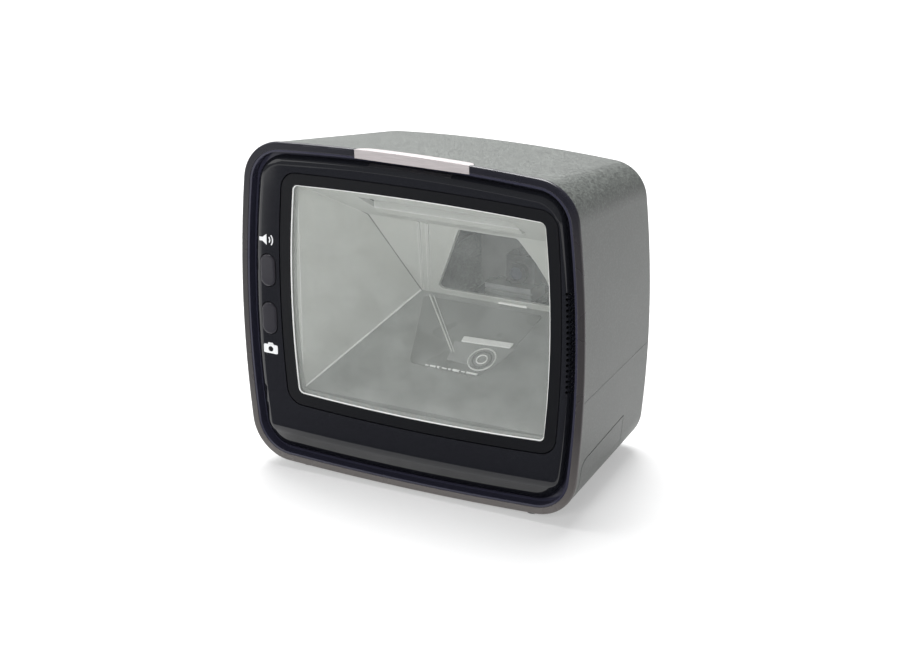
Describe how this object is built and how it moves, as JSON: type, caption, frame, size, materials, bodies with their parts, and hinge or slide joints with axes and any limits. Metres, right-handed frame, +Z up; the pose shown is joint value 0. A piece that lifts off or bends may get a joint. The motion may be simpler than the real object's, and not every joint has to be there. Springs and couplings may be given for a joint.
{
  "type": "counter presentation barcode scanner",
  "caption": "Boxy counter-top barcode scanner: clear window in a glossy black bezel, two side buttons, speaker grille, lit top bar, tapered grey housing.",
  "frame": {"origin": "on the counter, under the middle of the body's bounding box", "axes": "+X to the user's right along the width, +Y from the window to the rear, +Z up"},
  "size_m": [0.152, 0.0888, 0.14],
  "materials": {
    "ring_trim": "satin",
    "surround_plastic": "glossy",
    "bezel_plastic": "high gloss",
    "mask_plastic": "matt",
    "window_glass": "clear, hazed",
    "foam": "open foam",
    "light_bar": "brushed, translucent",
    "board_green": "solder mask",
    "lamp_white": "moulded",
    "housing_grey": "fine metallic speckle",
    "foot_rubber": "matt",
    "screw_steel": "plated",
    "insert_brass": "turned",
    "panel_black": "matt",
    "port_black": "matt",
    "contact_gold": "plated",
    "port_steel": "plated",
    "chamber_grey": "fine texture",
    "mirror": "polished",
    "diffuser": "frosted",
    "lens_black": "satin",
    "lens_glass": "coated",
    "chip_black": "moulded",
    "sink_aluminium": "extruded",
    "ribbon": "film",
    "key_plastic": "satin gloss",
    "plunger": "moulded",
    "cone": "pulp",
    "wire": "insulation"
  },
  "bodies": {
    "body": {"front_ring": "ring_trim", "bezel_surround": "surround_plastic", "front_bezel": "bezel_plastic", "window_frame": "mask_plastic", "window_glass": "window_glass", "window_gasket": "foam", "indicator_bar": "light_bar", "indicator_board": "board_green", "indicator_leds": "lamp_white", "upper_housing": "housing_grey", "lower_housing": "housing_grey", "base_cover": "housing_grey", "rubber_feet": "foot_rubber", "base_screws": "screw_steel", "mounting_inserts": "insert_brass", "socket_panel": "panel_black", "data_port": "port_black", "data_port_contacts": "contact_gold", "usb_port": "port_steel", "usb_tongue": "port_black", "power_jack": "port_black", "power_jack_pin": "contact_gold", "optical_chamber": "chamber_grey", "bottom_mirror": "mirror", "light_bracket": "chamber_grey", "light_diffuser": "diffuser", "illumination_board": "board_green", "illumination_leds": "lamp_white", "lens_barrel": "lens_black", "lens_elements": "lens_glass", "lens_holder": "lens_black", "image_sensor": "chip_black", "camera_board": "board_green", "camera_spacers": "lens_black", "camera_screws": "screw_steel", "finned_heat_sink": "sink_aluminium", "aiming_lamp": "lamp_white", "main_board": "board_green", "board_screws": "screw_steel", "processor_shield": "port_steel", "board_components": "chip_black", "camera_ribbon": "ribbon", "switch_bodies": "chip_black", "button_board": "board_green", "button_board_screws": "screw_steel", "speaker_frame": "lens_black", "speaker_cone": "cone", "speaker_magnet": "port_steel", "speaker_gasket": "foam", "speaker_wires": "wire"},
    "volume_key": {"volume_button": "key_plastic", "volume_switch_plunger": "plunger"},
    "capture_key": {"capture_button": "key_plastic", "capture_switch_plunger": "plunger"}
  },
  "joints": [
    {"name": "volume_key_press", "type": "slide", "parent": "body", "child": "volume_key", "axis": [0, 1, 0], "range_m": [0, 0.0005], "stiffness_N_per_m": 800, "springref_m": -0.001},
    {"name": "capture_key_press", "type": "slide", "parent": "body", "child": "capture_key", "axis": [0, 1, 0], "range_m": [0, 0.0005], "stiffness_N_per_m": 800, "springref_m": -0.001}
  ]
}
